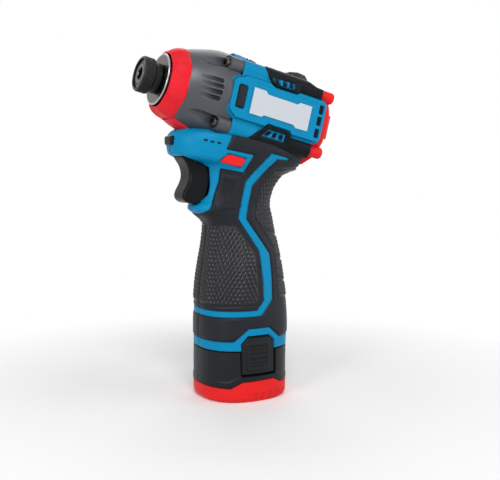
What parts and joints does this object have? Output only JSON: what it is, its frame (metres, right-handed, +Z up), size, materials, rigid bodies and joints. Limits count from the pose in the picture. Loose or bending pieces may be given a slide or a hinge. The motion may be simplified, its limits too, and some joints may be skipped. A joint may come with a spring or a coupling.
{
  "type": "cordless impact driver",
  "caption": "Compact pistol-grip cordless impact driver with a quick-release hexagon chuck, hammer mechanism, brushless motor and a stick battery that slides up into the grip.",
  "frame": {"origin": "centre of the battery foot on the surface it stands on", "axes": "+X forward towards the bit, +Y to the tool's left, +Z up"},
  "size_m": [0.115, 0.0528, 0.1977],
  "materials": {
    "blue_abs": "satin moulded ABS",
    "black_rubber": "matt moulded rubber",
    "red_rubber": "satin moulded rubber",
    "red_plastic": "satin moulded nylon",
    "black_plastic": "fine textured nylon",
    "grey_case": "satin grey paint on die-cast aluminium",
    "aluminium": "machined",
    "steel": "ground steel",
    "black_steel": "black oxide",
    "bronze": "sintered bronze",
    "copper": "enamelled copper",
    "silver_plate": "satin silver",
    "lens": "smoked clear plastic",
    "board": "green circuit board",
    "white_plastic": "plain nylon",
    "cell_wrap": "shrink-wrapped cell",
    "grey_plate": "grey foot plate"
  },
  "bodies": {
    "housing": {"housing_left": "blue_abs", "housing_right": "blue_abs", "grip_left": "black_rubber", "grip_right": "black_rubber", "housing_screws": "steel", "side_plate": "silver_plate", "hammer_case": "grey_case", "case_screws": "steel", "nose_bumper": "red_rubber", "nose_washer": "steel", "nose_bush": "bronze", "ring_gear": "steel", "gearbox_plate": "aluminium", "spindle_bearing": "steel", "stator_core": "steel", "stator_windings": "copper", "hall_board": "board", "front_motor_bearing": "steel", "rear_motor_bearing": "steel", "rear_cover": "red_plastic", "rear_cover_screws": "steel", "trigger_switch": "black_plastic", "work_light_lens": "lens", "gauge_lenses": "lens", "control_module": "board", "tool_contacts": "copper"},
    "spindle": {"spindle": "steel", "cam_balls": "steel", "planet_pins": "steel", "spring_washer": "steel", "hammer_spring": "steel"},
    "hammer": {"hammer": "steel"},
    "planet_1": {"planet_gear_1": "steel"},
    "planet_2": {"planet_gear_2": "steel"},
    "planet_3": {"planet_gear_3": "steel"},
    "rotor": {"rotor_core": "steel", "rotor_magnets": "steel", "motor_shaft": "steel", "pinion": "steel", "cooling_fan": "black_plastic"},
    "anvil": {"anvil": "steel", "detent_balls": "steel", "chuck_ring": "steel", "chuck_spring": "steel"},
    "sleeve": {"chuck_sleeve": "black_steel"},
    "trigger": {"trigger": "black_plastic"},
    "selector": {"direction_selector": "red_plastic"},
    "battery": {"pack_case": "black_plastic", "pack_base": "red_plastic", "pack_foot_plate": "grey_plate", "battery_cells": "cell_wrap", "cell_holder": "white_plastic", "pack_board": "board", "pack_contacts": "copper", "latch_springs": "steel"},
    "latch_left": {"latch_left": "black_plastic"},
    "latch_right": {"latch_right": "black_plastic"}
  },
  "joints": [
    {"name": "spindle_spin", "type": "hinge", "parent": "housing", "child": "spindle", "pos_m": [0, 0, 0.1677], "axis": [0.9694, 0, 0.2453], "continuous": true},
    {"name": "anvil_spin", "type": "hinge", "parent": "housing", "child": "anvil", "pos_m": [0, 0, 0.1677], "axis": [0.9694, 0, 0.2453], "continuous": true},
    {"name": "rotor_spin", "type": "hinge", "parent": "housing", "child": "rotor", "pos_m": [0, 0, 0.1677], "axis": [0.9694, 0, 0.2453], "continuous": true},
    {"name": "planet_1_spin", "type": "hinge", "parent": "spindle", "child": "planet_1", "pos_m": [0, 0.00877, 0.1677], "axis": [0.9694, 0, 0.2453], "continuous": true},
    {"name": "planet_2_spin", "type": "hinge", "parent": "spindle", "child": "planet_2", "pos_m": [-0.00186, -0.00439, 0.17507], "axis": [0.9694, 0, 0.2453], "continuous": true},
    {"name": "planet_3_spin", "type": "hinge", "parent": "spindle", "child": "planet_3", "pos_m": [0.00186, -0.00439, 0.16033], "axis": [0.9694, 0, 0.2453], "continuous": true},
    {"name": "hammer_retract", "type": "slide", "parent": "spindle", "child": "hammer", "axis": [-0.9694, 0, -0.2453], "range_m": [0, 0.006], "stiffness_N_per_m": 3000, "springref_m": -0.002, "deforming": ["hammer_spring"]},
    {"name": "sleeve_pull", "type": "slide", "parent": "anvil", "child": "sleeve", "axis": [0.9694, 0, 0.2453], "range_m": [0, 0.003], "stiffness_N_per_m": 800, "springref_m": -0.0015, "deforming": ["chuck_spring"]},
    {"name": "trigger_pull", "type": "slide", "parent": "housing", "child": "trigger", "axis": [-1, 0, 0], "range_m": [0, 0.0065], "stiffness_N_per_m": 500, "springref_m": -0.003},
    {"name": "selector_slide", "type": "slide", "parent": "housing", "child": "selector", "axis": [0, 1, 0], "range_m": [-0.0025, 0.0025]},
    {"name": "battery_out", "type": "slide", "parent": "housing", "child": "battery", "axis": [0, 0, -1], "range_m": [0, 0.066]},
    {"name": "latch_left_press", "type": "slide", "parent": "battery", "child": "latch_left", "axis": [0, -1, 0], "range_m": [0, 0.002], "stiffness_N_per_m": 400, "springref_m": -0.002, "deforming": ["latch_springs"]},
    {"name": "latch_right_press", "type": "slide", "parent": "battery", "child": "latch_right", "axis": [0, 1, 0], "range_m": [0, 0.002], "stiffness_N_per_m": 400, "springref_m": -0.002, "deforming": ["latch_springs"]}
  ],
  "couplings": [
    {"joint": "anvil_spin", "follows": "spindle_spin", "ratio": 1},
    {"joint": "rotor_spin", "follows": "spindle_spin", "ratio": 6},
    {"joint": "planet_1_spin", "follows": "spindle_spin", "ratio": -2.5},
    {"joint": "planet_2_spin", "follows": "spindle_spin", "ratio": -2.5},
    {"joint": "planet_3_spin", "follows": "spindle_spin", "ratio": -2.5}
  ]
}
